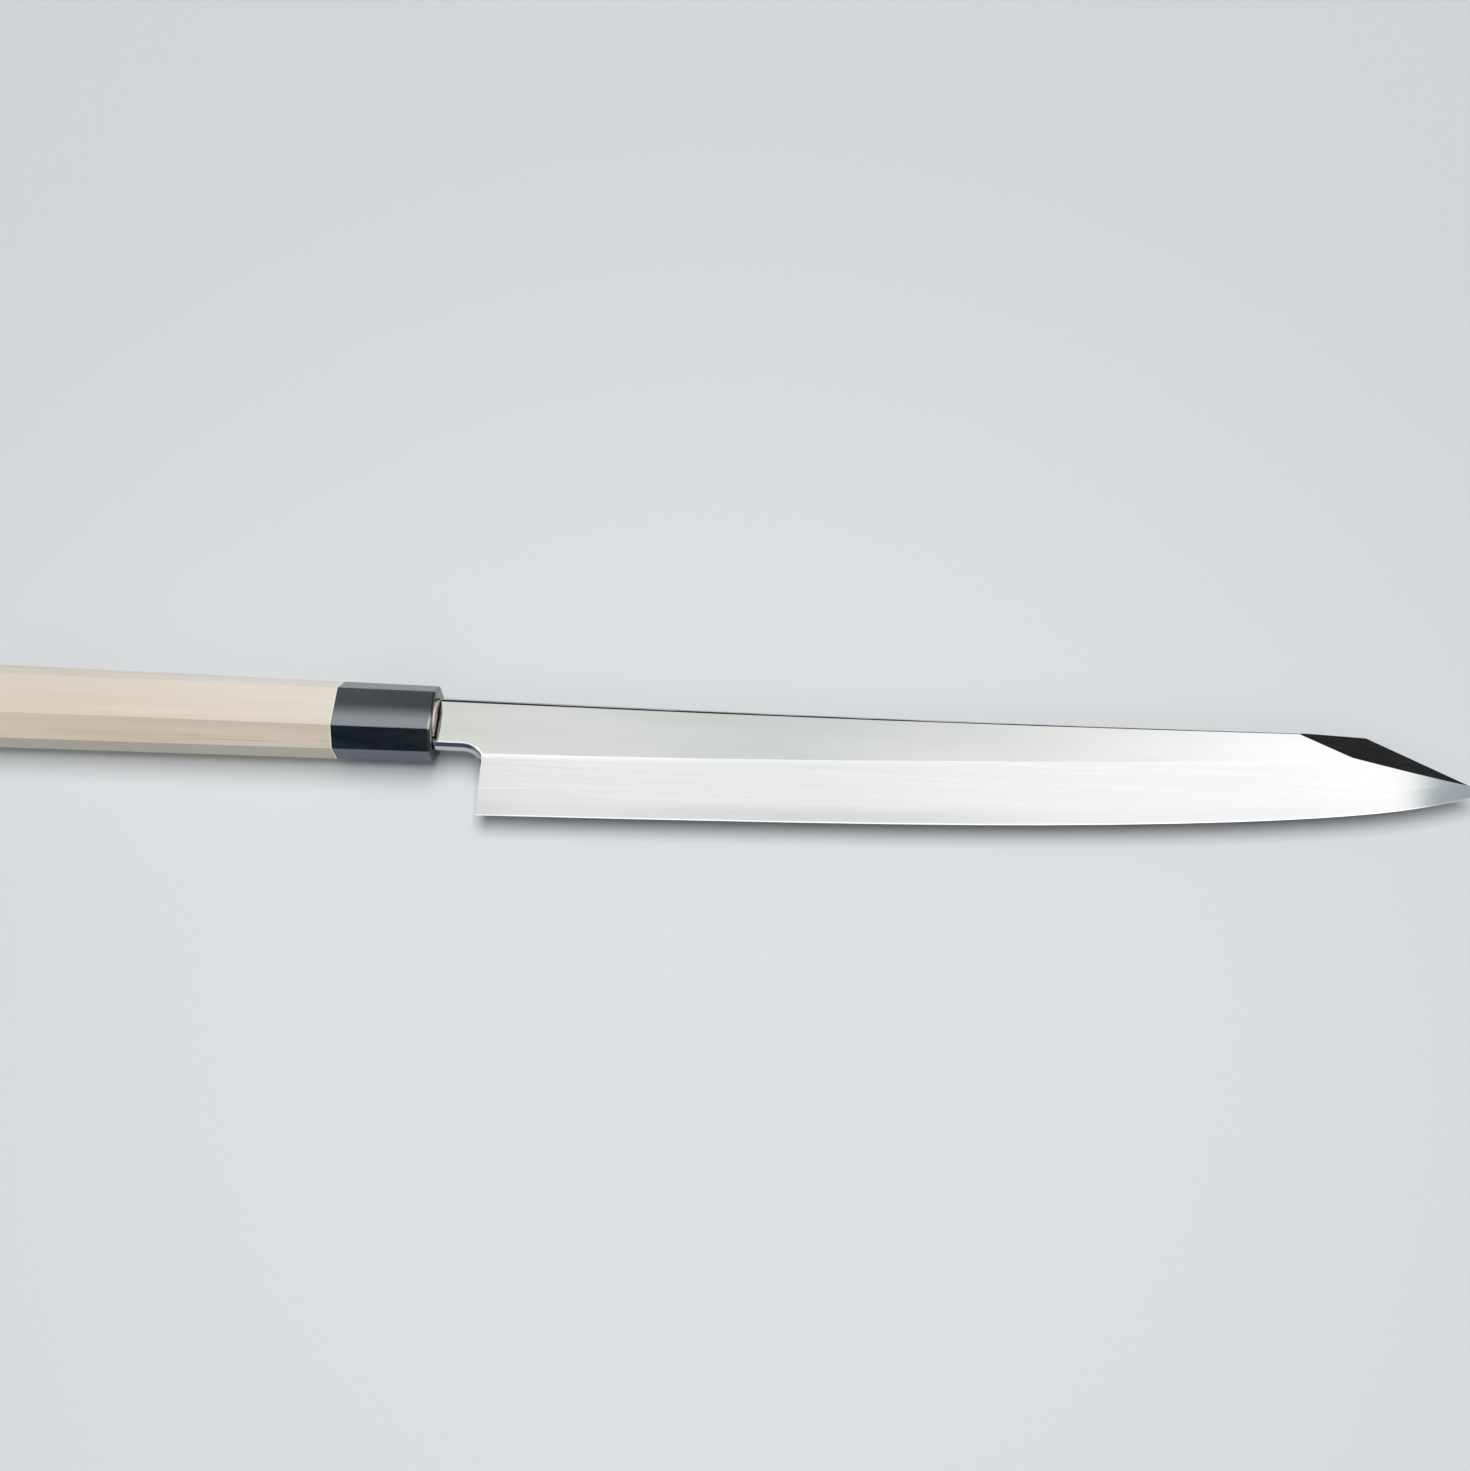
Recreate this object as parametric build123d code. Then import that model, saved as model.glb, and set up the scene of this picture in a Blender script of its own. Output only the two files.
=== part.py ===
from build123d import *
import os

# A long single-bevel slicing knife with a slanted point, in millimetres.
# The sketch datum is the centre of the ferrule's front face: X runs from the butt to the
# tip, Y from the cutting edge to the spine, and Z from the hollow back to the bevelled front.

# Handle: an octagon that narrows from the butt to the front of the horn ferrule
handle_length = 145.0
handle_thickness = 18.8
butt_height = 26.6
butt_facet = 14.1
front_height = 23.8
front_facet = 13.2
side_facet = 7.0
butt_rounding = 0.8

# Horn ferrule and the turned wooden tenon that fills it
ferrule_length = 31.3
ferrule_rounding = 0.9
tenon_diameter = 15.2
tenon_proud = 0.5
tenon_rounding = 0.4
bore_clearance = 0.05

# Tang, burnt into the wood behind the shouldered neck
tang_length = 92.0
tang_root_height = 13.6
tang_end_height = 6.0
tang_root_thickness = 3.6
tang_end_thickness = 2.2
tang_clearance = 0.05
tang_end_gap = 2.5
shoulder_gap = 0.1

# Blade outline. The neck's spine lies this far above the handle's middle.
blade_length = 333.0
heel_setback = 15.7
neck_top = 9.05
neck_height = 18.25
blade_height = 39.5
machi_radius = 6.5
spine_lift = 0.6
spine_dip = 0.85
point_length = 34.7

# Blade thickness and the edges broken along it
neck_thickness = 4.6
point_thickness = 2.9
neck_rounding = 2.1
heel_rounding = 0.12
back_rounding_length = 9.0
spine_rounding = 2.1
spine_back_rounding = 0.8

# Slanted point: a ground facet along the cut-off end
facet_width = 10.3
facet_edge_thickness = 0.7

# Hard steel layer and the hollow ground into the back
core_thickness = 0.95
core_lead = 5.0
hollow_depth = 0.35
hollow_runout_depth = 0.02
hollow_edge_rim = 1.3
hollow_spine_rim = 3.2
hollow_lead = 5.0

# One overrun serves every cutter
overrun = 1.0

# Stations from the heel to the tip, as shares of the edge length. The last lies past the
# tip, so that the blank is longer than what is cut from it.
station_share = (0.0, 0.123, 0.319, 0.517, 0.713, 0.861, 0.953, 1.0, 1.04)
# How far the cutting edge and the bevel line lie below the neck's spine, as shares of the
# blade height: first where the blank begins at the ferrule, then at the stations
edge_drop_share = (1.008, 1.0, 0.980, 0.943, 0.890, 0.798, 0.6815, 0.5495, 0.4415, 0.339)
bevel_drop_share = (0.517, 0.508, 0.486, 0.438, 0.372, 0.297, 0.207, 0.113, 0.060, 0.012)
# Where the spine's rounding is set, as shares of the blade length, and the share of the
# full rounding that it has there: round at the neck, crisp at the point
spine_station_share = (-0.01, 0.25, 0.5, 0.75, 1.04)
spine_rounding_share = (1.0, 0.76, 0.55, 0.3, 0.22)

# Places that follow from the sizes
back_z = -neck_thickness / 2
front_z = neck_thickness / 2
neck_bottom = neck_top - neck_height
edge_length = blade_length - heel_setback
corner_x = blade_length - point_length
shoulder_x = tenon_proud + shoulder_gap
heel_y = neck_top - blade_height
tip_y = neck_top - edge_drop_share[-2] * blade_height
machi_x = heel_setback - machi_radius
machi_y = neck_bottom - machi_radius
heel_thickness = neck_thickness - (neck_thickness - point_thickness) * heel_setback / corner_x
front_plane = Plane(
    origin=(0, 0, front_z),
    x_dir=(corner_x, 0, point_thickness - neck_thickness),
    z_dir=(neck_thickness - point_thickness, 0, corner_x),
)


def cross_plane(x):
    """A plane across the knife: its own x is the knife's Y and its own y is Z."""
    return Plane(origin=(x, 0, 0), x_dir=(0, 1, 0), z_dir=(1, 0, 0))


def spine_y(x):
    """The spine sags slightly below its chord and rises towards the point."""
    u = x / corner_x
    return neck_top + spine_lift * u - spine_dip * 4 * u * (1 - u)


def octagon(x, height, facet):
    """The handle's cross-section at x, with its slanted facets drawn on past top and bottom."""
    half_side = side_facet / 2
    half_thickness = handle_thickness / 2
    lean = (height - facet) / 2 / (half_thickness - half_side)
    quarter = [
        (facet / 2 - lean * overrun, half_thickness + overrun),
        (height / 2, half_side),
    ]
    right = quarter + [(y, -z) for y, z in reversed(quarter)]
    left = [(-y, -z) for y, z in right]
    outline = Polyline(*right, *left, close=True)
    return cross_plane(x) * make_face(outline)


def handle_body():
    """The whole octagonal handle, grip and ferrule together, planed flat at top and bottom."""
    butt = octagon(-handle_length, butt_height, butt_facet)
    front = octagon(0, front_height, front_facet)
    planed = Box(2 * handle_length + overrun, 2 * butt_height, handle_thickness)
    return loft([butt, front], ruled=True) & planed


def slab(x_from, x_to):
    """A block wider than the handle between two places along it."""
    length = x_to - x_from
    block = Box(length, 2 * butt_height, 2 * butt_height)
    return Pos((x_from + x_to) / 2, 0, 0) * block


def tang_section(x, extra):
    """The tang's cross-section at x, enlarged all round for the slot it sits in."""
    u = (x - shoulder_x) / (-tang_length - shoulder_x)
    height = tang_root_height + (tang_end_height - tang_root_height) * u
    thickness = tang_root_thickness + (tang_end_thickness - tang_root_thickness) * u
    return cross_plane(x) * Rectangle(height + 2 * extra, thickness + 2 * extra)


def tang():
    """The tapered tang, from the neck's shoulder to its end inside the grip."""
    return loft([tang_section(-tang_length, 0), tang_section(shoulder_x, 0)], ruled=True)


def tang_slot():
    """The burnt slot: the tang's own taper with the fitting clearance round it."""
    deep_end = tang_section(-tang_length - tang_end_gap, tang_clearance)
    mouth = tang_section(shoulder_x + overrun, tang_clearance)
    return loft([deep_end, mouth], ruled=True)


def horn_ferrule():
    """The horn ring: rounded at its front rim and bored for the tenon."""
    ring = handle_body() & slab(-ferrule_length, overrun)
    front_rim = ring.faces().sort_by(Axis.X)[-1].edges()
    ring = fillet(front_rim, ferrule_rounding)
    bore_radius = tenon_diameter / 2 + bore_clearance
    bore_length = ferrule_length + 2 * overrun
    bore = Pos(-ferrule_length / 2, 0, 0) * Rot(0, 90, 0) * Cylinder(bore_radius, bore_length)
    return ring - bore


def handle_grip():
    """The wooden grip with its tenon, which stands a little proud of the horn."""
    grip = handle_body() & slab(-handle_length - overrun, -ferrule_length)
    butt_rim = grip.faces().sort_by(Axis.X)[0].edges()
    grip = fillet(butt_rim, butt_rounding)
    tenon_length = ferrule_length + tenon_proud
    tenon = Cylinder(tenon_diameter / 2, tenon_length)
    tenon = fillet(tenon.edges().sort_by(Axis.Z)[-1], tenon_rounding)
    tenon = Pos(tenon_proud - tenon_length / 2, 0, 0) * Rot(0, 90, 0) * tenon
    return grip + tenon - tang_slot()


def side_points(drop_share):
    """Points of a line along the blade, from its table of drops below the neck's spine."""
    station_x = [0] + [heel_setback + share * edge_length for share in station_share]
    return [(x, neck_top - drop * blade_height) for x, drop in zip(station_x, drop_share)]


def blade_side(drop_share):
    """One flat side of the blank: the spine above and an edge or bevel line below."""
    lower_points = side_points(drop_share)
    start = (lower_points[0][0], spine_y(lower_points[0][0]))
    end = (lower_points[-1][0], spine_y(lower_points[-1][0]))
    middle_x = (start[0] + end[0]) / 2
    spine = ThreePointArc(start, (middle_x, spine_y(middle_x)), end)
    point_end = Line(end, lower_points[-1])
    lower = Spline(*reversed(lower_points))
    neck_end = Line(lower_points[0], start)
    return make_face([spine, point_end, lower, neck_end])


def blank():
    """Spine, flat and bevel in one ruled body, longer than the blade at both ends."""
    back = Pos(0, 0, back_z) * blade_side(edge_drop_share)
    front = front_plane * blade_side(bevel_drop_share)
    return loft([back, front], ruled=True)


def rim_profile(radius, side):
    """The sliver taken off a square corner to round it, with the corner at the origin.

    The wall lies along y, the face along x, and side is 1 for the front, -1 for the back.
    """
    bulge = radius * (1 - 0.5 ** 0.5)
    arc = ThreePointArc((-radius, 0), (-bulge, -side * bulge), (0, -side * radius))
    outer = Polyline(
        (0, -side * radius),
        (overrun, -side * radius),
        (overrun, side * overrun),
        (-radius, side * overrun),
        (-radius, 0),
    )
    return make_face([arc, outer])


def along_spine(side):
    """What is taken off along one side of the spine, less and less towards the point."""
    taper = (neck_thickness - point_thickness) / corner_x
    full_rounding = spine_rounding if side > 0 else spine_back_rounding
    sections = []
    for station, share in zip(spine_station_share, spine_rounding_share):
        x = station * blade_length
        z = front_z - taper * x if side > 0 else back_z
        corner = Plane(origin=(x, spine_y(x), z), x_dir=(0, 1, 0), z_dir=(1, 0, 0))
        sections.append(corner * rim_profile(share * full_rounding, side))
    return loft(sections)


def under_neck():
    """The neck's underside, drawn from inside the handle to the rounded corner."""
    return Line((-overrun, neck_bottom), (machi_x, neck_bottom))


def machi_corner():
    """The rounded corner between the neck's underside and the heel."""
    return CenterArc((machi_x, machi_y), machi_radius, 90, -90)


def notch():
    """The room below the neck and behind the heel, with the rounded corner between them."""
    rest = Polyline(
        (heel_setback, machi_y),
        (heel_setback, heel_y - overrun),
        (-overrun, heel_y - overrun),
        (-overrun, neck_bottom),
    )
    outline = make_face([under_neck(), machi_corner(), rest])
    return extrude(outline, neck_thickness, both=True)


def rounding(side, end_y, end_z):
    """What is taken off to round one side of the neck's underside, the corner and the heel.

    It is drawn on the plane of that side, and fades out on the heel at the given place.
    """
    path = Wire([under_neck().edge(), machi_corner().edge()])
    start_plane = Plane(origin=path @ 0, x_dir=(0, -1, 0), z_dir=(-1, 0, 0))
    along_neck = sweep(start_plane * rim_profile(neck_rounding, side), path)
    heel_top = Plane(origin=(heel_setback, machi_y, 0), x_dir=(-1, 0, 0), z_dir=(0, 1, 0))
    heel_end = Plane(origin=(heel_setback, end_y, end_z), x_dir=(-1, 0, 0), z_dir=(0, 1, 0))
    profiles = [heel_top * rim_profile(neck_rounding, side)]
    profiles += [heel_end * rim_profile(heel_rounding, side)]
    return [along_neck, loft(profiles, ruled=True)]


def neck_and_heel(body):
    """The blank with its shoulder, its neck and its rounded heel."""
    body = body - slab(-overrun, shoulder_x) - notch() - along_spine(1) - along_spine(-1)
    for cutter in rounding(1, heel_y, -heel_thickness):
        body = body - front_plane * cutter
    for cutter in rounding(-1, machi_y - back_rounding_length, 0):
        body = body - Pos(0, 0, back_z) * cutter
    return body


def point(body):
    """The blade with its slanted end cut off and the facet ground along the cut."""
    corner_y = spine_y(corner_x)
    along_cut = (corner_x - blade_length, corner_y - tip_y, 0)
    cut_plane = Plane(origin=(blade_length, tip_y, 0), x_dir=along_cut, z_dir=(0, 0, 1))
    reach = 2 * (point_length + blade_height)
    waste = cut_plane * Pos(0, -reach / 2, 0) * Box(2 * reach, reach, 2 * neck_thickness)
    facet_rise = point_thickness - facet_edge_thickness
    facet_plane = Plane(
        origin=(blade_length, tip_y, back_z + facet_edge_thickness),
        x_dir=along_cut,
        z_dir=Vector(0, 0, facet_width) - cut_plane.y_dir * facet_rise,
    )
    above_facet = facet_plane * Pos(0, 0, reach / 2) * Box(2 * reach, 2 * reach, reach)
    return body - waste - above_facet


def hollow_section(x, low_y, high_y, depth):
    """The hollow's cross-section at x: a shallow arc between the two flat rims."""
    middle_y = (low_y + high_y) / 2
    arc = ThreePointArc((low_y, back_z), (middle_y, back_z + depth), (high_y, back_z))
    below = Polyline(
        (high_y, back_z),
        (high_y, back_z - overrun),
        (low_y, back_z - overrun),
        (low_y, back_z),
    )
    return cross_plane(x) * make_face([arc, below])


def hollow():
    """The hollow in the back: one wheel's radius, so it grows shallow as it narrows."""
    edge_points = side_points(edge_drop_share)[2:-2]
    rims = [(x, y + hollow_edge_rim, spine_y(x) - hollow_spine_rim) for x, y in edge_points]
    last_x, last_low, _ = rims[-1]
    cut_slope = (spine_y(corner_x) - tip_y) / point_length
    cut_y = tip_y + cut_slope * (blade_length - last_x)
    rims[-1] = (last_x, last_low, cut_y - hollow_spine_rim)
    full_width = rims[0][2] - rims[0][1]
    start_x = heel_setback + hollow_lead
    start_low = heel_y + hollow_edge_rim
    start_high = neck_top - hollow_spine_rim
    sections = [hollow_section(start_x, start_low, start_high, hollow_runout_depth)]
    for x, low_y, high_y in rims:
        depth = hollow_depth * ((high_y - low_y) / full_width) ** 2
        sections.append(hollow_section(x, low_y, high_y, depth))
    return loft(sections)


def blade():
    """The whole blade with its tang, before it is parted into its two welded layers."""
    return point(neck_and_heel(blank())) - hollow() + tang()


def core_layer():
    """The room that the hard steel takes up along the back, from just behind the heel."""
    length = blade_length - heel_setback + core_lead + overrun
    thickness = core_thickness + overrun
    block = Box(length, 3 * blade_height, thickness)
    x = heel_setback - core_lead + length / 2
    return Pos(x, 0, back_z + core_thickness - thickness / 2) * block


def save(name, piece):
    """Write one piece in the part's own frame: bottom centre of its bounding box."""
    to_frame = Pos(
        (handle_length - blade_length) / 2,
        -(butt_height / 2 + heel_y) / 2,
        handle_thickness / 2,
    )
    export_step(to_frame * piece, "parts/" + name + ".step")


os.makedirs("parts", exist_ok=True)
whole_blade = blade()
save("handle_grip", handle_grip())
save("horn_ferrule", horn_ferrule())
save("blade_cladding", whole_blade - core_layer())
save("blade_core_steel", whole_blade & core_layer())
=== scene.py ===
import math

import bpy
from mathutils import Matrix, Vector

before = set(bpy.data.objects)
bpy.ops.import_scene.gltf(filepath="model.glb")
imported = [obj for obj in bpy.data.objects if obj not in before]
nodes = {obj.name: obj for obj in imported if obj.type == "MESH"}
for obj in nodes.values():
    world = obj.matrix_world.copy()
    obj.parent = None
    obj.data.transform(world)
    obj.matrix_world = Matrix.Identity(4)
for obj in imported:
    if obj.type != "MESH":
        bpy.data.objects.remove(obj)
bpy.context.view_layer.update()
scene = bpy.context.scene

MM = 0.001

# Places on the knife, in the row's frame and in millimetres
BUTT_X = -239.0
FERRULE_FRONT = -94.0
FERRULE_BACK = -125.3
HANDLE_AXIS_Y = 8.575
HANDLE_MIDDLE_Z = 9.4
HANDLE_TOP_Z = 18.8
SIDE_FACET_TOP_Z = 12.9
SHOULDER_X = -93.4
BLADE_BACK_Z = 7.1
NECK_TOP_Z = 11.7
CORNER_X = 204.3
TIP_X = 239.0
POINT_THICKNESS = 2.9

# The front of the blade thins evenly from the horn to the corner of the point
NECK_THICKNESS = NECK_TOP_Z - BLADE_BACK_Z
FLAT_SLOPE = (NECK_THICKNESS - POINT_THICKNESS) / (CORNER_X - FERRULE_FRONT)


def linear(red, green, blue):
    """A colour given as 0 to 255 on screen, as the linear colour that a shader takes."""
    def channel(value):
        value = value / 255
        return value / 12.92 if value <= 0.04045 else ((value + 0.055) / 1.055) ** 2.4
    return (channel(red), channel(green), channel(blue), 1.0)


# ---- small helpers for node trees

def new_material(name):
    material = bpy.data.materials.new(name)
    material.use_nodes = True
    material.node_tree.nodes.clear()
    tree = material.node_tree
    output = tree.nodes.new("ShaderNodeOutputMaterial")
    shader = tree.nodes.new("ShaderNodeBsdfPrincipled")
    tree.links.new(shader.outputs["BSDF"], output.inputs["Surface"])
    return material, tree, shader


def put(tree, value, socket):
    """Set a socket, or link it where the value is another node's output."""
    if isinstance(value, bpy.types.NodeSocket):
        tree.links.new(value, socket)
    else:
        socket.default_value = value


def math_node(tree, operation, a, b=0.0):
    node = tree.nodes.new("ShaderNodeMath")
    node.operation = operation
    put(tree, a, node.inputs[0])
    put(tree, b, node.inputs[1])
    return node.outputs[0]


def times(tree, a, b):
    return math_node(tree, "MULTIPLY", a, b)


def smooth_step(tree, value, low, high, to_low=0.0, to_high=1.0):
    """A soft change from one value to another; low may lie above high, which turns it round."""
    node = tree.nodes.new("ShaderNodeMapRange")
    node.interpolation_type = "SMOOTHSTEP"
    put(tree, value, node.inputs["Value"])
    put(tree, low, node.inputs["From Min"])
    put(tree, high, node.inputs["From Max"])
    put(tree, to_low, node.inputs["To Min"])
    put(tree, to_high, node.inputs["To Max"])
    return node.outputs["Result"]


def mix_colour(tree, factor, a, b, blend="MIX"):
    node = tree.nodes.new("ShaderNodeMix")
    node.data_type = "RGBA"
    node.blend_type = blend
    put(tree, factor, node.inputs["Factor"])
    put(tree, a, node.inputs["A"])
    put(tree, b, node.inputs["B"])
    return next(output for output in node.outputs if output.type == "RGBA")


def tinted(tree, a, b):
    """One colour multiplied by another."""
    return mix_colour(tree, 1.0, a, b, "MULTIPLY")


def place(tree):
    """The point on the surface in millimetres, in the row's frame, and its X, Y and Z."""
    source = tree.nodes.new("ShaderNodeTexCoord")
    scale = tree.nodes.new("ShaderNodeVectorMath")
    scale.operation = "SCALE"
    scale.inputs["Scale"].default_value = 1 / MM
    tree.links.new(source.outputs["Object"], scale.inputs[0])
    split = tree.nodes.new("ShaderNodeSeparateXYZ")
    tree.links.new(scale.outputs[0], split.inputs[0])
    return scale.outputs[0], split.outputs[0], split.outputs[1], split.outputs[2]


def stretched(tree, point, sizes, shift=(0.0, 0.0, 0.0)):
    """The same point divided by a size in millimetres along each axis."""
    node = tree.nodes.new("ShaderNodeMapping")
    node.inputs["Location"].default_value = shift
    node.inputs["Scale"].default_value = [1 / size for size in sizes]
    tree.links.new(point, node.inputs["Vector"])
    return node.outputs[0]


def noise(tree, point, sizes, detail=3.0, roughness=0.5, shift=(0.0, 0.0, 0.0), distortion=0.0):
    node = tree.nodes.new("ShaderNodeTexNoise")
    node.inputs["Scale"].default_value = 1.0
    node.inputs["Detail"].default_value = detail
    node.inputs["Roughness"].default_value = roughness
    node.inputs["Distortion"].default_value = distortion
    tree.links.new(stretched(tree, point, sizes, shift), node.inputs["Vector"])
    return node.outputs["Fac"]


def ramp(tree, value, stops):
    node = tree.nodes.new("ShaderNodeValToRGB")
    elements = node.color_ramp.elements
    while len(elements) < len(stops):
        elements.new(0.5)
    for element, (position, colour) in zip(elements, stops):
        element.position = position
        element.color = colour
    put(tree, value, node.inputs[0])
    return node.outputs["Color"]


def bump(tree, height, distance_mm, strength, normal=None):
    node = tree.nodes.new("ShaderNodeBump")
    put(tree, strength, node.inputs["Strength"])
    node.inputs["Distance"].default_value = distance_mm * MM
    tree.links.new(height, node.inputs["Height"])
    if normal is not None:
        tree.links.new(normal, node.inputs["Normal"])
    return node.outputs["Normal"]


def grey(value):
    return (value, value, value, 1.0)


def on_upper_facet(tree, z):
    """1 on the handle's uppermost facet, 0 from its rounded ridges down."""
    return smooth_step(tree, z, HANDLE_TOP_Z - 0.24, HANDLE_TOP_Z - 0.08)


def near_side(tree, y):
    """1 on the handle's near half, which lies on the side of the cutting edge."""
    return smooth_step(tree, y, HANDLE_AXIS_Y + 1.0, HANDLE_AXIS_Y - 1.0)


# ---- wood of the grip

def wood_material():
    material, tree, shader = new_material("magnolia_wood_bare")
    point, x, y, z = place(tree)
    broad = noise(tree, point, (160, 7, 7), detail=2.0)
    fibre = noise(tree, point, (38, 0.9, 0.9), detail=4.0, roughness=0.6, distortion=0.2)
    pores = noise(tree, point, (9, 0.22, 0.22), detail=2.0, roughness=0.7, shift=(3.0, 1.0, 5.0))
    base = ramp(tree, broad, [
        (0.30, linear(222, 208, 191)),
        (0.50, linear(228, 217, 203)),
        (0.70, linear(225, 213, 199)),
    ])
    streak = ramp(tree, fibre, [(0.30, grey(0.94)), (0.46, grey(1.0)), (0.72, grey(0.98))])
    tone = tinted(tree, base, streak)
    pore_tone = ramp(tree, pores, [(0.26, grey(0.95)), (0.38, grey(1.0))])
    tone = tinted(tree, tone, pore_tone)
    # The upper facet pales from the butt to the horn
    paler = ramp(tree, smooth_step(tree, x, BUTT_X + 14.0, FERRULE_BACK), [
        (0.0, (1.0, 1.0, 1.0, 1.0)),
        (1.0, (1.07, 1.10, 1.14, 1.0)),
    ])
    on_top = on_upper_facet(tree, z)
    tone = mix_colour(tree, on_top, tone, tinted(tree, tone, paler))
    # Painted shade: the near side facet is greyer
    near = near_side(tree, y)
    side_height = smooth_step(tree, z, SIDE_FACET_TOP_Z + 0.2, SIDE_FACET_TOP_Z - 0.2)
    painted_low_side = times(tree, side_height, near)
    shaded_grey = tinted(tree, tone, (0.86, 0.88, 0.86, 1.0))
    tone = mix_colour(tree, painted_low_side, tone, shaded_grey)
    # Painted light: the far slanted facet is paler, most of all towards the horn
    far_facet = times(
        tree,
        smooth_step(tree, y, HANDLE_AXIS_Y + 6.3, HANDLE_AXIS_Y + 7.6),
        smooth_step(tree, z, SIDE_FACET_TOP_Z, SIDE_FACET_TOP_Z + 0.6),
    )
    lit_paleness = smooth_step(tree, x, BUTT_X + 9.0, BUTT_X + 89.0, 0.15, 0.7)
    tone = mix_colour(tree, times(tree, far_facet, lit_paleness), tone, linear(241, 236, 227))
    # Painted light: the near slanted facet is a little warmer
    off_top = math_node(tree, "SUBTRACT", 1.0, on_top)
    near_slant = math_node(tree, "SUBTRACT", times(tree, off_top, near), painted_low_side)
    lit_warmer = tinted(tree, tone, (1.01, 0.985, 0.945, 1.0))
    tone = mix_colour(tree, near_slant, tone, lit_warmer)
    # A few thin dark lines low on the slanted facets
    thin = noise(tree, point, (90, 0.45, 0.30), detail=1.0, shift=(6.0, 2.0, 8.0))
    low_on_slant = times(
        tree,
        smooth_step(tree, z, SIDE_FACET_TOP_Z + 2.6, SIDE_FACET_TOP_Z + 1.6),
        smooth_step(tree, z, SIDE_FACET_TOP_Z, SIDE_FACET_TOP_Z + 0.5),
    )
    lines = times(tree, low_on_slant, smooth_step(tree, thin, 0.52, 0.62))
    tone = mix_colour(tree, times(tree, lines, 0.3), tone, linear(170, 142, 122))
    # End grain on the butt, with the year rings as curved lines
    heart_y = math_node(tree, "SUBTRACT", y, HANDLE_AXIS_Y - 26.0)
    heart_z = math_node(tree, "SUBTRACT", z, HANDLE_MIDDLE_Z - 30.0)
    squares = math_node(tree, "ADD", times(tree, heart_y, heart_y), times(tree, heart_z, heart_z))
    from_heart = math_node(tree, "SQRT", squares)
    rings = math_node(tree, "SINE", times(tree, from_heart, 3.6))
    end_grain = ramp(tree, smooth_step(tree, rings, 0.0, 1.0), [
        (0.0, linear(214, 198, 178)),
        (1.0, linear(204, 186, 164)),
    ])
    spots = noise(tree, point, (9, 0.5, 0.5), detail=2.0)
    end_grain = tinted(tree, end_grain, ramp(tree, spots, [(0.35, grey(0.93)), (0.6, grey(1.0))]))
    at_butt = smooth_step(tree, x, BUTT_X + 0.6, BUTT_X + 0.2)
    tone = mix_colour(tree, at_butt, tone, end_grain)
    # A painted highlight: a cream line on the end of the wood against the horn
    wood_end_highlight = times(
        tree,
        smooth_step(tree, x, FERRULE_BACK - 0.45, FERRULE_BACK - 0.2),
        smooth_step(tree, x, FERRULE_BACK + 0.3, FERRULE_BACK + 0.1),
    )
    tone = mix_colour(tree, wood_end_highlight, tone, linear(247, 243, 235))
    # The pale end of the tenon is browned and burnt by the hot tang at the mouth of the slot, and
    # the near-black round the tang is partly painted shade
    from_middle_z = math_node(tree, "ABSOLUTE", math_node(tree, "SUBTRACT", z, HANDLE_MIDDLE_Z))
    from_middle_y = math_node(tree, "ABSOLUTE", math_node(tree, "SUBTRACT", y, HANDLE_AXIS_Y))
    beside_slot = smooth_step(tree, from_middle_y, 7.5, 6.7)
    near_front = smooth_step(tree, x, FERRULE_FRONT - 3.0, FERRULE_FRONT - 0.5)
    at_mouth = times(tree, beside_slot, near_front)
    tone = mix_colour(tree, near_front, tone, linear(248, 240, 224))
    uneven = noise(tree, point, (2.0, 3.0, 1.6))
    halo = times(tree, at_mouth, smooth_step(tree, from_middle_z, 7.0, 5.0))
    halo = times(tree, halo, smooth_step(tree, uneven, 0.40, 0.55))
    tone = mix_colour(tree, times(tree, halo, 0.8), tone, linear(150, 84, 66))
    # Near-black round the tang: partly burnt wood, partly painted shade in the slot and under the
    # blade
    wander = times(tree, math_node(tree, "SUBTRACT", 0.5, uneven), 1.8)
    burn_and_slot_shade = smooth_step(tree, math_node(tree, "ADD", from_middle_z, wander), 4.4, 3.8)
    burn_and_slot_shade = times(tree, at_mouth, burn_and_slot_shade)
    tone = mix_colour(tree, burn_and_slot_shade, tone, linear(10, 5, 2))
    put(tree, tone, shader.inputs["Base Color"])
    rough = smooth_step(tree, fibre, 0.3, 0.7, 0.50, 0.62)
    rough = math_node(tree, "MAXIMUM", rough, times(tree, burn_and_slot_shade, 0.95))
    put(tree, rough, shader.inputs["Roughness"])
    shader.inputs["IOR"].default_value = 1.45
    shader.inputs["Specular IOR Level"].default_value = 0.28
    surface = bump(tree, fibre, 0.05, 0.35)
    put(tree, bump(tree, pores, 0.03, 0.3, surface), shader.inputs["Normal"])
    return material


# ---- polished horn of the ferrule

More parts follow.
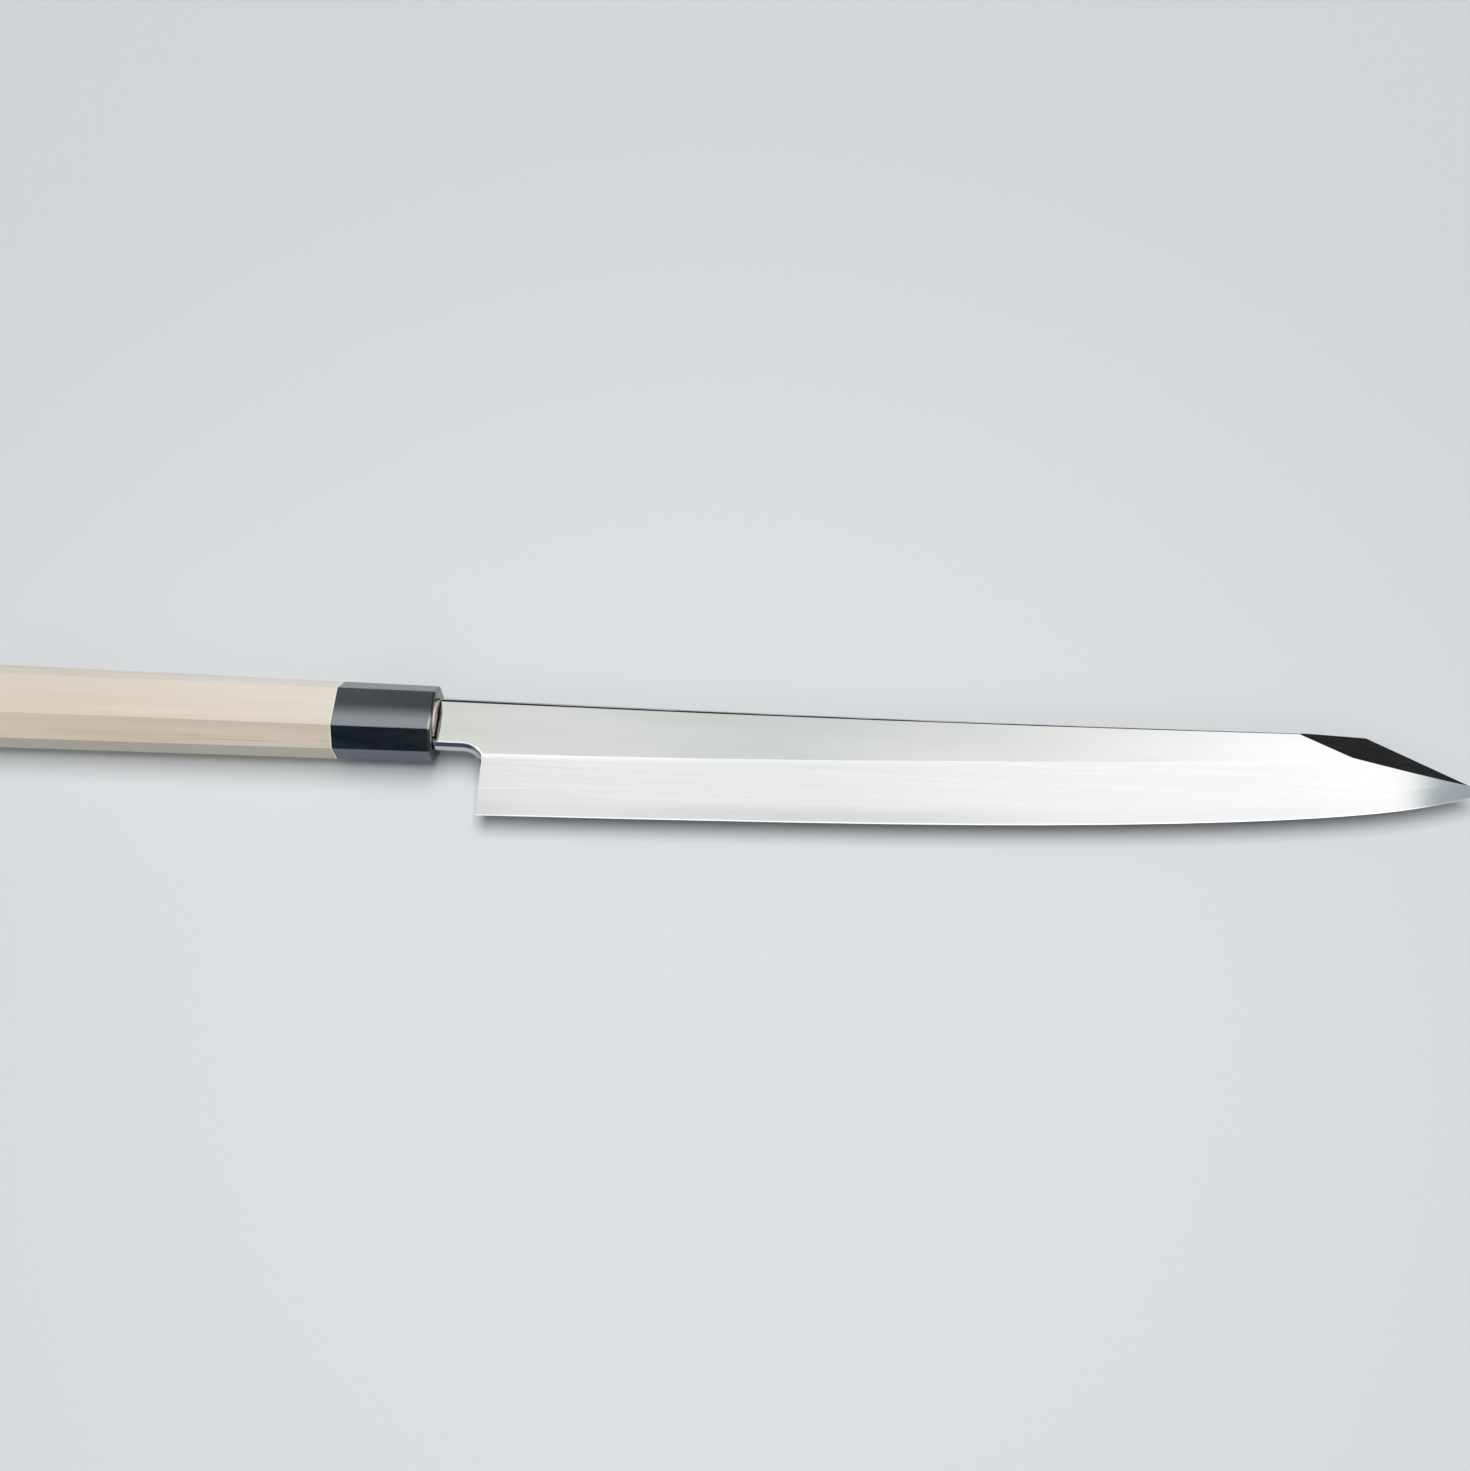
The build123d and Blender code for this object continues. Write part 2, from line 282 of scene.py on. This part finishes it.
def horn_material():
    material, tree, shader = new_material("buffalo_horn_polished")
    point, x, y, z = place(tree)
    cloud = noise(tree, point, (26, 5, 5), detail=4.0, roughness=0.55, distortion=0.4)
    streak = noise(tree, point, (60, 1.1, 1.1), detail=3.0, roughness=0.6, shift=(2.0, 7.0, 1.0))
    base = ramp(tree, cloud, [
        (0.35, linear(14, 21, 25)),
        (0.55, linear(24, 34, 39)),
        (0.75, linear(37, 48, 53)),
    ])
    lines = ramp(tree, streak, [(0.35, grey(0.75)), (0.6, grey(1.0)), (0.8, grey(1.35))])
    tone = tinted(tree, base, lines)
    # A painted reflection: a paler band along the near half of the upper facet
    band = smooth_step(tree, y, HANDLE_AXIS_Y + 1.5, HANDLE_AXIS_Y - 4.8)
    reflected_band = times(tree, on_upper_facet(tree, z), band)
    tone = mix_colour(tree, reflected_band, tone, linear(130, 137, 141))
    # A painted highlight: the pale band is brightest on the rounded front edge
    front_edge = times(
        tree,
        smooth_step(tree, x, FERRULE_FRONT - 0.80, FERRULE_FRONT - 0.55),
        smooth_step(tree, z, HANDLE_TOP_Z - 0.55, HANDLE_TOP_Z - 0.40),
    )
    near_half = smooth_step(tree, y, HANDLE_AXIS_Y - 0.5, HANDLE_AXIS_Y - 4.5, 0.0, 0.85)
    rim_highlight = times(tree, front_edge, near_half)
    tone = mix_colour(tree, rim_highlight, tone, linear(222, 227, 224))
    # Painted reflections: the side facets and the far slanted facet are greyer
    painted_low_side = times(
        tree,
        smooth_step(tree, z, SIDE_FACET_TOP_Z + 0.3, SIDE_FACET_TOP_Z - 0.3),
        smooth_step(tree, x, FERRULE_FRONT - 0.4, FERRULE_FRONT - 0.9),
    )
    tone = mix_colour(tree, painted_low_side, tone, linear(84, 97, 110))
    far_facet = smooth_step(tree, y, HANDLE_AXIS_Y + 6.6, HANDLE_AXIS_Y + 7.4)
    tone = mix_colour(tree, far_facet, tone, linear(97, 109, 113))
    put(tree, tone, shader.inputs["Base Color"])
    scuff = noise(tree, point, (3.5, 0.5, 0.5), detail=3.0, shift=(9.0, 3.0, 4.0))
    put(tree, smooth_step(tree, scuff, 0.35, 0.75, 0.13, 0.22), shader.inputs["Roughness"])
    shader.inputs["IOR"].default_value = 1.56
    put(tree, bump(tree, cloud, 0.06, 0.25), shader.inputs["Normal"])
    return material


# ---- steel of the blade

def below_bevel_line(tree, x, z):
    """How far a point lies below the flat's plane, as a share of the blade's thickness there.

    It is 0 on the flat and at the bevel line, and 1 at the cutting edge.
    """
    drop = times(tree, math_node(tree, "SUBTRACT", x, FERRULE_FRONT), FLAT_SLOPE)
    thickness = math_node(tree, "SUBTRACT", NECK_THICKNESS, drop)
    height = math_node(tree, "DIVIDE", math_node(tree, "SUBTRACT", z, BLADE_BACK_Z), thickness)
    return math_node(tree, "SUBTRACT", 1.0, height)


def flat_material():
    """The flat above the bevel: a soft satin with a faint lengthwise grain."""
    material, tree, shader = new_material("iron_flat_satin")
    point, x, _, _ = place(tree)
    grain = noise(tree, point, (30, 0.25, 5), detail=3.0, roughness=0.6)
    mist = noise(tree, point, (70, 14, 14), detail=2.0, shift=(4.0, 0.0, 2.0))
    tone = ramp(tree, mist, [(0.3, linear(196, 197, 196)), (0.7, linear(206, 206, 205))])
    lines = ramp(tree, grain, [(0.3, grey(0.985)), (0.7, grey(1.0))])
    put(tree, tinted(tree, tone, lines), shader.inputs["Base Color"])
    shader.inputs["Metallic"].default_value = 1.0
    satin = smooth_step(tree, mist, 0.3, 0.7, 0.09, 0.13)
    from_neck = smooth_step(tree, x, SHOULDER_X + 1.5, SHOULDER_X + 12.0)
    rough = math_node(tree, "ADD", times(tree, satin, from_neck), 0.025)
    put(tree, rough, shader.inputs["Roughness"])
    put(tree, bump(tree, grain, 0.004, 0.2), shader.inputs["Normal"])
    return material


def bevel_material(name):
    """The ground bevel: fine lengthwise stone scratches, mistier iron above and steel below."""
    material, tree, shader = new_material(name)
    point, x, _, z = place(tree)
    share = below_bevel_line(tree, x, z)
    long_lines = noise(tree, point, (45, 0.20, 4), detail=3.0, roughness=0.65)
    short_lines = noise(tree, point, (11, 0.12, 4), detail=2.0, roughness=0.6, shift=(5.0, 2.0, 0.0))
    mist = noise(tree, point, (70, 1.6, 9), detail=4.0, roughness=0.6, shift=(1.0, 6.0, 3.0))
    iron = ramp(tree, mist, [(0.3, linear(206, 206, 206)), (0.7, linear(212, 212, 212))])
    # The steel at the edge is darkest along the middle of the blade
    steel = ramp(tree, smooth_step(tree, x, -90.0, 150.0), [
        (0.0, linear(204, 204, 204)),
        (0.25, linear(194, 194, 194)),
        (0.65, linear(193, 194, 194)),
        (1.0, linear(206, 206, 206)),
    ])
    wander = times(tree, math_node(tree, "SUBTRACT", mist, 0.5), 0.10)
    line = math_node(tree, "ADD", share, wander)
    to_steel = smooth_step(tree, line, 0.66, 0.90)
    tone = mix_colour(tree, to_steel, iron, steel)
    # Painted highlights: a bright line runs along the top of the bevel and along the cutting edge
    bevel_line_highlight = smooth_step(tree, share, 0.11, 0.0)
    fading = smooth_step(tree, x, 90.0, -90.0, 0.12, 0.75)
    tone = mix_colour(tree, times(tree, bevel_line_highlight, fading), tone, linear(236, 237, 237))
    edge_highlight = smooth_step(tree, share, 0.975, 0.99)
    tone = mix_colour(tree, edge_highlight, tone, linear(240, 240, 240))
    scratches = tinted(
        tree,
        ramp(tree, long_lines, [(0.3, grey(0.945)), (0.65, grey(1.0))]),
        ramp(tree, short_lines, [(0.28, grey(0.96)), (0.6, grey(1.0))]),
    )
    # The scratches are finer towards the tip
    coarse = smooth_step(tree, x, -60.0, 110.0, 1.0, 0.3)
    put(tree, mix_colour(tree, coarse, tone, scratches, "MULTIPLY"), shader.inputs["Base Color"])
    shader.inputs["Metallic"].default_value = 1.0
    shader.inputs["Anisotropic"].default_value = 0.55
    rough = smooth_step(tree, line, 0.70, 0.9, 0.225, 0.205)
    # The blade is polished finer towards the tip
    near_tip = smooth_step(tree, x, TIP_X - 150.0, TIP_X - 45.0, 1.0, 0.49)
    put(tree, times(tree, rough, near_tip), shader.inputs["Roughness"])
    tangent = tree.nodes.new("ShaderNodeTangent")
    tangent.direction_type = "RADIAL"
    tangent.axis = "X"
    put(tree, tangent.outputs[0], shader.inputs["Tangent"])
    surface = bump(tree, long_lines, 0.009, times(tree, coarse, 0.3))
    surface = bump(tree, short_lines, 0.006, times(tree, coarse, 0.25), surface)
    put(tree, surface, shader.inputs["Normal"])
    return material


def polished_material():
    """Mirror polish on the neck, the spine, the heel and the slanted point."""
    material, tree, shader = new_material("iron_mirror_polish")
    point = place(tree)[0]
    wear = noise(tree, point, (14, 1.4, 1.4), detail=4.0, roughness=0.6)
    tone = ramp(tree, wear, [(0.3, linear(190, 191, 193)), (0.7, linear(204, 205, 206))])
    put(tree, tone, shader.inputs["Base Color"])
    shader.inputs["Metallic"].default_value = 1.0
    put(tree, smooth_step(tree, wear, 0.3, 0.7, 0.06, 0.12), shader.inputs["Roughness"])
    return material


def back_material():
    """The hollow back: fine cross polish, brighter on the flat rims."""
    material, tree, shader = new_material("steel_hollow_back")
    point, _, _, z = place(tree)
    turn = noise(tree, point, (0.35, 16, 4), detail=3.0, roughness=0.6)
    mist = noise(tree, point, (50, 9, 9), detail=3.0)
    tone = ramp(tree, mist, [(0.3, linear(176, 178, 181)), (0.7, linear(196, 198, 200))])
    lines = ramp(tree, turn, [(0.3, grey(0.93)), (0.7, grey(1.0))])
    rim = smooth_step(tree, z, BLADE_BACK_Z + 0.03, BLADE_BACK_Z + 0.005)
    tone = tinted(tree, tone, lines)
    tone = mix_colour(tree, rim, tone, linear(208, 209, 210))
    put(tree, tone, shader.inputs["Base Color"])
    shader.inputs["Metallic"].default_value = 1.0
    put(tree, smooth_step(tree, rim, 0.0, 1.0, 0.24, 0.16), shader.inputs["Roughness"])
    put(tree, bump(tree, turn, 0.008, 0.3), shader.inputs["Normal"])
    return material


def tang_material():
    """The tang as it comes from the forge and the hot fit: dark scale, burnt at the mouth."""
    material, tree, shader = new_material("iron_tang_burnt")
    point = place(tree)[0]
    scale = noise(tree, point, (3.0, 1.2, 1.2), detail=4.0, roughness=0.6)
    tone = ramp(tree, scale, [(0.35, linear(24, 18, 15)), (0.7, linear(58, 42, 34))])
    put(tree, tone, shader.inputs["Base Color"])
    shader.inputs["Metallic"].default_value = 0.2
    put(tree, smooth_step(tree, scale, 0.3, 0.7, 0.55, 0.8), shader.inputs["Roughness"])
    put(tree, bump(tree, scale, 0.05, 0.4), shader.inputs["Normal"])
    return material


def dress(node_name, materials, choose):
    """Give a CAD node its materials and each face the one that suits its place."""
    mesh = nodes[node_name].data
    mesh.materials.clear()
    for material in materials:
        mesh.materials.append(material)
    for polygon in mesh.polygons:
        polygon.material_index = choose(polygon.center / MM, polygon.normal)


FLAT, BEVEL, POLISH, BACK, TANG = range(5)


def blade_finish(centre, normal):
    """Which finish a face of the blade has, by its place and the way it looks."""
    flat_z = NECK_TOP_Z - FLAT_SLOPE * (centre.x - FERRULE_FRONT)
    if centre.x < SHOULDER_X - 0.1 or (normal.x < -0.9 and centre.x < SHOULDER_X + 0.1):
        return TANG
    if normal.z < -0.9:
        return BACK
    if normal.z > 0.999 and centre.z > flat_z - 0.05:
        return FLAT
    if normal.z > 0.9 and normal.y < 0.05 and centre.x > FERRULE_FRONT + 14.0:
        return BEVEL
    return POLISH


flat = flat_material()
polish = polished_material()
back = back_material()
tang = tang_material()
dress(
    "blade_cladding",
    [flat, bevel_material("iron_bevel_stoned"), polish, back, tang],
    blade_finish,
)
dress(
    "blade_core_steel",
    [flat, bevel_material("steel_edge_stoned"), polish, back, tang],
    blade_finish,
)
dress("handle_grip", [wood_material()], lambda centre, normal: 0)
dress("horn_ferrule", [horn_material()], lambda centre, normal: 0)

# ---- broken edges on the handle's ridges

WOOD_RIDGE = 0.22
HORN_RIDGE = 0.18
WELD_DISTANCE = 0.001
# Edges that turn by more than this are broken, and the steps of the rounded rims turn by less
RIDGE_ANGLE = 34


def break_ridges(node_name, width):
    modifiers = nodes[node_name].modifiers
    weld = modifiers.new("weld", "WELD")
    weld.merge_threshold = WELD_DISTANCE * MM
    ridge = modifiers.new("ridges", "BEVEL")
    ridge.width = width * MM
    ridge.segments = 2
    ridge.limit_method = "ANGLE"
    ridge.angle_limit = math.radians(RIDGE_ANGLE)
    shading = modifiers.new("shading", "WEIGHTED_NORMAL")
    shading.weight = 100


break_ridges("handle_grip", WOOD_RIDGE)
break_ridges("horn_ferrule", HORN_RIDGE)

# ---- floor

FLOOR_SIZE = 8.0
BACKDROP = linear(217, 222, 225)


def floor_material():
    """Pale paper, with a painted pool of light round a place just in front of the knife."""
    material, tree, shader = new_material("studio_paper")
    source = tree.nodes.new("ShaderNodeTexCoord")
    shift = tree.nodes.new("ShaderNodeVectorMath")
    shift.operation = "ADD"
    shift.inputs[1].default_value = (0.0, 0.08, 0.0)
    tree.links.new(source.outputs["Object"], shift.inputs[0])
    distance = tree.nodes.new("ShaderNodeVectorMath")
    distance.operation = "LENGTH"
    tree.links.new(shift.outputs[0], distance.inputs[0])
    # A painted pool of light: the paper is brighter near the knife and darker far out
    tone = ramp(tree, smooth_step(tree, distance.outputs["Value"], 0.05, 0.45), [
        (0.0, linear(228, 232, 234)),
        (1.0, linear(216, 221, 224)),
    ])
    put(tree, tone, shader.inputs["Base Color"])
    shader.inputs["Roughness"].default_value = 0.9
    shader.inputs["Specular IOR Level"].default_value = 0.1
    # Far off it is seen and mirrored as the backdrop's own colour, so that no horizon shows
    backdrop = tree.nodes.new("ShaderNodeEmission")
    backdrop.inputs["Color"].default_value = BACKDROP
    fade = tree.nodes.new("ShaderNodeMixShader")
    far_off = smooth_step(tree, distance.outputs["Value"], 0.5, 1.3)
    path = tree.nodes.new("ShaderNodeLightPath")
    seen = math_node(
        tree, "MAXIMUM",
        path.outputs["Is Camera Ray"],
        math_node(
            tree, "MAXIMUM",
            path.outputs["Is Glossy Ray"],
            path.outputs["Is Transmission Ray"],
        ),
    )
    put(tree, times(tree, far_off, seen), fade.inputs[0])
    tree.links.new(shader.outputs[0], fade.inputs[1])
    tree.links.new(backdrop.outputs[0], fade.inputs[2])
    output = next(node for node in tree.nodes if node.type == "OUTPUT_MATERIAL")
    tree.links.new(fade.outputs[0], output.inputs["Surface"])
    return material


bpy.ops.mesh.primitive_plane_add(size=FLOOR_SIZE, location=(0, 0, 0))
floor = bpy.context.object
floor.name = "studio_floor"
floor.data.materials.append(floor_material())

# ---- what the polished surfaces mirror: a broad ceiling of light with dark walls

world = bpy.data.worlds.new("studio")
scene.world = world
world.use_nodes = True
world.cycles.sampling_method = "NONE"
sky = world.node_tree
sky.nodes.clear()
direction = sky.nodes.new("ShaderNodeTexCoord").outputs["Generated"]
unit = sky.nodes.new("ShaderNodeVectorMath")
unit.operation = "NORMALIZE"
sky.links.new(direction, unit.inputs[0])
parts = sky.nodes.new("ShaderNodeSeparateXYZ")
sky.links.new(unit.outputs[0], parts.inputs[0])
dir_x, dir_y, dir_z = parts.outputs[0], parts.outputs[1], parts.outputs[2]

# The ceiling grows brighter towards the tip of the knife
along = smooth_step(sky, dir_x, -1.0, 1.0)
along.node.interpolation_type = "LINEAR"
ceiling = ramp(sky, along, [
    (0.30, grey(1.22)),
    (0.40, (1.19, 1.20, 1.15, 1.0)),
    (0.42, grey(1.29)),
    (0.50, (1.10, 1.17, 1.13, 1.0)),
    (0.55, (1.24, 1.27, 1.24, 1.0)),
    (0.62, grey(1.52)),
    (0.68, grey(1.80)),
])
nearer = smooth_step(sky, dir_y, 0.36, 0.12)
overhead = ramp(sky, along, [
    (0.40, (2.08, 2.03, 1.96, 1.0)),
    (0.43, (1.60, 1.57, 1.55, 1.0)),
    (0.49, grey(1.53)),
    (0.55, grey(1.48)),
    (0.615, grey(1.52)),
    (0.65, grey(1.34)),
    (0.685, grey(1.25)),
    (0.72, grey(1.54)),
])
ceiling = mix_colour(sky, times(sky, nearer, 0.6), ceiling, overhead)
shade = smooth_step(sky, dir_y, 0.36, 0.56, 1.0, 0.86)
ceiling = tinted(sky, ceiling, shade)
# Where it ends: a dark wall behind the knife, a blue-grey one past the tip, a navy one in front
past_tip = smooth_step(sky, dir_x, 0.459, 0.483)
walls = mix_colour(sky, past_tip, ceiling, (0.49, 0.585, 0.63, 1.0))
behind = smooth_step(sky, dir_y, 0.54, 0.62)
walls = mix_colour(sky, behind, walls, grey(0.035))
# The wall in front reaches higher on the left, where the neck mirrors it
reach = smooth_step(sky, dir_x, -0.15, -0.20, 0.0, 0.27)
in_front = smooth_step(sky, math_node(sky, "SUBTRACT", dir_y, reach), -0.25, -0.37)
# The walls are lighter in front of the blade and far out on the left
lighter = times(
    sky,
    math_node(
        sky, "MAXIMUM",
        smooth_step(sky, dir_x, -0.12, -0.02),
        smooth_step(sky, dir_x, -0.62, -0.75),
    ),
    smooth_step(sky, dir_y, 0.40, 0.25),
)
front_wall = mix_colour(sky, lighter, (0.075, 0.10, 0.20, 1.0), (0.44, 0.47, 0.52, 1.0))
walls = mix_colour(sky, in_front, walls, front_wall)
low = smooth_step(sky, dir_z, 0.50, 0.30)
# A bright strip on the left lights the edge of the heel
left_strip = times(
    sky,
    smooth_step(sky, dir_x, -0.32, -0.38),
    smooth_step(sky, dir_y, 0.08, 0.18),
)
walls = mix_colour(sky, left_strip, walls, grey(1.9))
side = smooth_step(sky, dir_x, -0.52, -0.60)
low_wall = mix_colour(sky, lighter, (0.10, 0.12, 0.16, 1.0), (0.36, 0.38, 0.42, 1.0))
low_wall = mix_colour(sky, behind, low_wall, (0.095, 0.115, 0.115, 1.0))
walls = mix_colour(sky, math_node(sky, "MAXIMUM", low, side), walls, low_wall)

mirrored = sky.nodes.new("ShaderNodeBackground")
put(sky, walls, mirrored.inputs["Color"])
ambient = sky.nodes.new("ShaderNodeBackground")
ambient.inputs["Color"].default_value = (0.15, 0.15, 0.155, 1.0)
seen = sky.nodes.new("ShaderNodeBackground")
seen.inputs["Color"].default_value = BACKDROP
path = sky.nodes.new("ShaderNodeLightPath")
by_diffuse = sky.nodes.new("ShaderNodeMixShader")
sky.links.new(path.outputs["Is Diffuse Ray"], by_diffuse.inputs[0])
sky.links.new(mirrored.outputs[0], by_diffuse.inputs[1])
sky.links.new(ambient.outputs[0], by_diffuse.inputs[2])
# Low all round stands the pale backdrop, which metal and horn mirror as well
low_band = smooth_step(sky, dir_z, 0.24, 0.16)
by_gloss = math_node(
    sky, "MAXIMUM",
    path.outputs["Is Glossy Ray"],
    path.outputs["Is Transmission Ray"],
)
shows_backdrop = math_node(
    sky, "MAXIMUM",
    path.outputs["Is Camera Ray"],
    times(sky, by_gloss, low_band),
)
by_camera = sky.nodes.new("ShaderNodeMixShader")
sky.links.new(shows_backdrop, by_camera.inputs[0])
sky.links.new(by_diffuse.outputs[0], by_camera.inputs[1])
sky.links.new(seen.outputs[0], by_camera.inputs[2])
world_output = sky.nodes.new("ShaderNodeOutputWorld")
sky.links.new(by_camera.outputs[0], world_output.inputs["Surface"])

# ---- lamps, softly lighting the floor, the wood and the horn

LAMP_DISTANCE = 3.0


def panel_lamp(name, elevation, width, depth, floor_light):
    """A lamp that looks at the knife from behind, or from in front past 90 degrees.

    floor_light is the share of a white floor's full brightness that it gives.
    """
    angle = math.radians(elevation)
    data = bpy.data.lights.new(name, "AREA")
    data.shape = "RECTANGLE"
    data.size = width
    data.size_y = depth
    data.energy = floor_light * math.pi ** 2 * LAMP_DISTANCE ** 2 / math.sin(angle)
    lamp = bpy.data.objects.new(name, data)
    scene.collection.objects.link(lamp)
    towards = Vector((0.0, math.cos(angle), math.sin(angle)))
    lamp.location = towards * LAMP_DISTANCE
    lamp.rotation_euler = (-towards).to_track_quat("-Z", "Y").to_euler()
    lamp.visible_glossy = False


panel_lamp("overhead_lamp", 82.0, 2.0, 3.1, 0.90)
panel_lamp("front_lamp", 145.0, 2.0, 1.6, 0.065)

# ---- camera, which stands in front of the knife and looks down on it

SENSOR_WIDTH = 36.0
FOCAL_LENGTH = 34.7755
CAMERA_AZIMUTH = 2.7
CAMERA_ELEVATION = 62.5
CAMERA_DISTANCE = 455.0
CAMERA_TARGET = Vector((1.75, 8.875, 9.4))

camera_data = bpy.data.cameras.new("camera")
camera_data.sensor_fit = "HORIZONTAL"
camera_data.sensor_width = SENSOR_WIDTH
camera_data.lens = FOCAL_LENGTH
camera_data.clip_start = 0.01
camera = bpy.data.objects.new("camera", camera_data)
scene.collection.objects.link(camera)
azimuth = math.radians(CAMERA_AZIMUTH)
elevation = math.radians(CAMERA_ELEVATION)
backward = Vector((
    math.sin(azimuth) * math.cos(elevation),
    -math.cos(azimuth) * math.cos(elevation),
    math.sin(elevation),
))
right = Vector((math.cos(azimuth), math.sin(azimuth), 0.0))
upward = backward.cross(right)
turn = Matrix((right, upward, backward)).transposed().to_4x4()
stand = CAMERA_TARGET + CAMERA_DISTANCE * backward
camera.matrix_world = Matrix.Translation(stand * MM) @ turn
scene.camera = camera

scene.view_settings.view_transform = "Standard"
